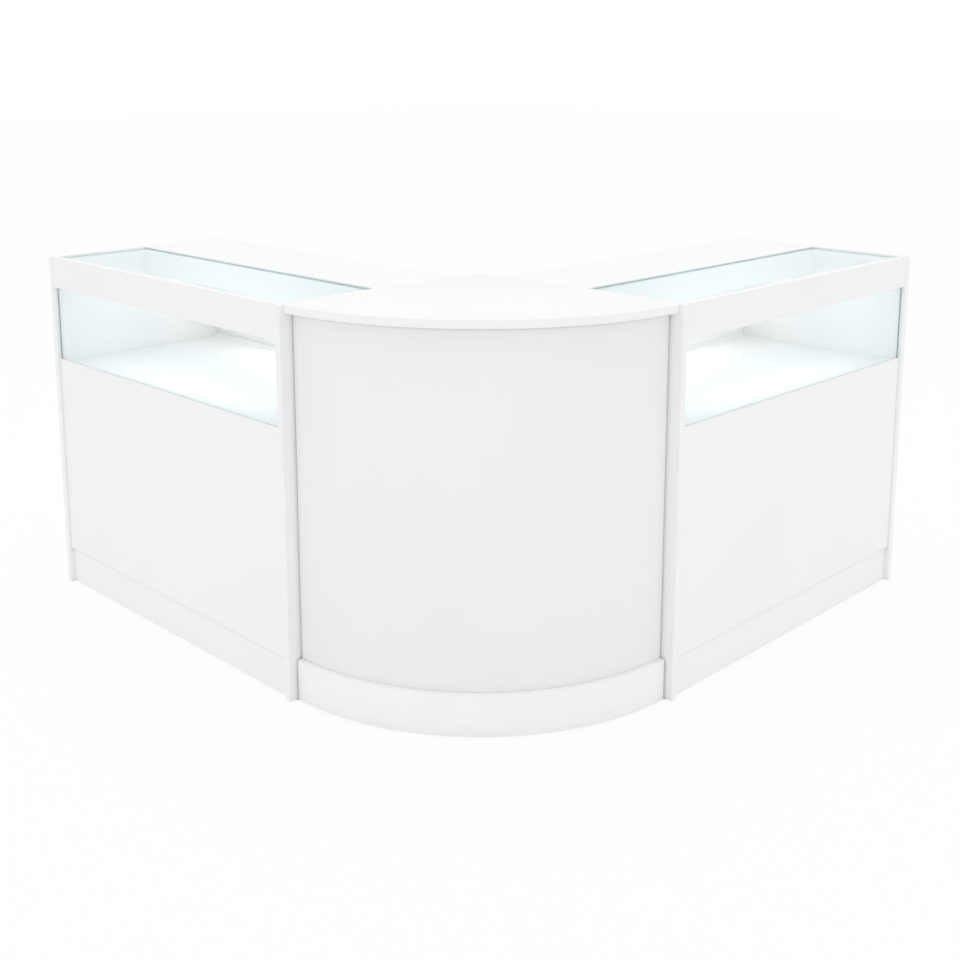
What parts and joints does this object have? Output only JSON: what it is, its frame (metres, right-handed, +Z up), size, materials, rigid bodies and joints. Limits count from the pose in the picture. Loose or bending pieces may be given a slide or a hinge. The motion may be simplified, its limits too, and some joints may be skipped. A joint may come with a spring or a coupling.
{
  "type": "shop counter",
  "caption": "White L-shaped shop counter: straight display units with glass fronts and inset glass tops meet at a quarter-round corner, with sliding doors and shelves behind.",
  "frame": {"origin": "on the floor, under the middle of the counter's bounding box", "axes": "+Z up; the left unit runs along X with its customer side at -Y, the right unit runs along Y with its customer side at +X"},
  "size_m": [1.6, 1.6, 0.9],
  "materials": {
    "white_board": "white melamine-faced board, edges banded",
    "plinth_board": "white melamine-faced plinth",
    "curved_board": "white laminated bent board",
    "door_board": "white lacquered board",
    "front_glass": "clear toughened glass, polished edges",
    "top_glass": "clear toughened glass, polished edges",
    "door_track": "white extruded plastic",
    "door_pull": "satin nickel flush pull",
    "lock_metal": "bright nickel plate",
    "zinc_fitting": "bright zinc plate",
    "fixing_block": "white moulded block",
    "foot_glide": "white nylon"
  },
  "bodies": {
    "carcass": {"left_far_end_panel": "white_board", "left_near_end_panel": "white_board", "left_plinth_board": "plinth_board", "left_rear_plinth_rail": "white_board", "left_base_panel": "white_board", "left_display_deck": "white_board", "left_rear_top_panel": "white_board", "left_lower_front_panel": "white_board", "left_fascia_rail": "white_board", "left_cross_rail": "white_board", "left_front_batten": "white_board", "left_end_battens": "white_board", "left_storage_shelf": "white_board", "left_front_glass": "front_glass", "left_top_glass": "top_glass", "left_shelf_pins": "zinc_fitting", "left_fixing_blocks": "fixing_block", "left_lower_track": "door_track", "left_upper_track": "door_track", "right_far_end_panel": "white_board", "right_near_end_panel": "white_board", "right_plinth_board": "plinth_board", "right_rear_plinth_rail": "white_board", "right_base_panel": "white_board", "right_display_deck": "white_board", "right_rear_top_panel": "white_board", "right_lower_front_panel": "white_board", "right_fascia_rail": "white_board", "right_cross_rail": "white_board", "right_front_batten": "white_board", "right_end_battens": "white_board", "right_storage_shelf": "white_board", "right_front_glass": "front_glass", "right_top_glass": "top_glass", "right_shelf_pins": "zinc_fitting", "right_fixing_blocks": "fixing_block", "right_lower_track": "door_track", "right_upper_track": "door_track", "corner_top": "white_board", "corner_left_side_panel": "white_board", "corner_right_side_panel": "white_board", "corner_curved_plinth": "plinth_board", "corner_curved_front_panel": "curved_board", "corner_base_panel": "white_board", "corner_former_panel": "white_board", "corner_apex_post": "white_board", "row_foot_glides": "foot_glide", "row_joint_bolts": "zinc_fitting"},
    "left_outer_door": {"left_outer_door": "door_board", "left_outer_door_pull": "door_pull", "left_lock_barrel": "lock_metal"},
    "left_inner_door": {"left_inner_door": "door_board", "left_inner_door_pull": "door_pull"},
    "left_lock": {"left_lock_plug": "lock_metal"},
    "right_outer_door": {"right_outer_door": "door_board", "right_outer_door_pull": "door_pull", "right_lock_barrel": "lock_metal"},
    "right_inner_door": {"right_inner_door": "door_board", "right_inner_door_pull": "door_pull"},
    "right_lock": {"right_lock_plug": "lock_metal"}
  },
  "joints": [
    {"name": "left_outer_door_slide", "type": "slide", "parent": "carcass", "child": "left_outer_door", "axis": [1, 0, 0], "range_m": [0, 0.466]},
    {"name": "left_inner_door_slide", "type": "slide", "parent": "carcass", "child": "left_inner_door", "axis": [1, 0, 0], "range_m": [-0.466, 0]},
    {"name": "left_lock_turn", "type": "hinge", "parent": "left_outer_door", "child": "left_lock", "pos_m": [-0.3, -0.281, 0.7477], "axis": [0, 1, 0], "range_deg": [0, 90]},
    {"name": "right_outer_door_slide", "type": "slide", "parent": "carcass", "child": "right_outer_door", "axis": [0, 1, 0], "range_m": [0, 0.466]},
    {"name": "right_inner_door_slide", "type": "slide", "parent": "carcass", "child": "right_inner_door", "axis": [0, 1, 0], "range_m": [-0.466, 0]},
    {"name": "right_lock_turn", "type": "hinge", "parent": "right_outer_door", "child": "right_lock", "pos_m": [0.281, 0.3, 0.7477], "axis": [-1, 0, 0], "range_deg": [0, 90]}
  ]
}
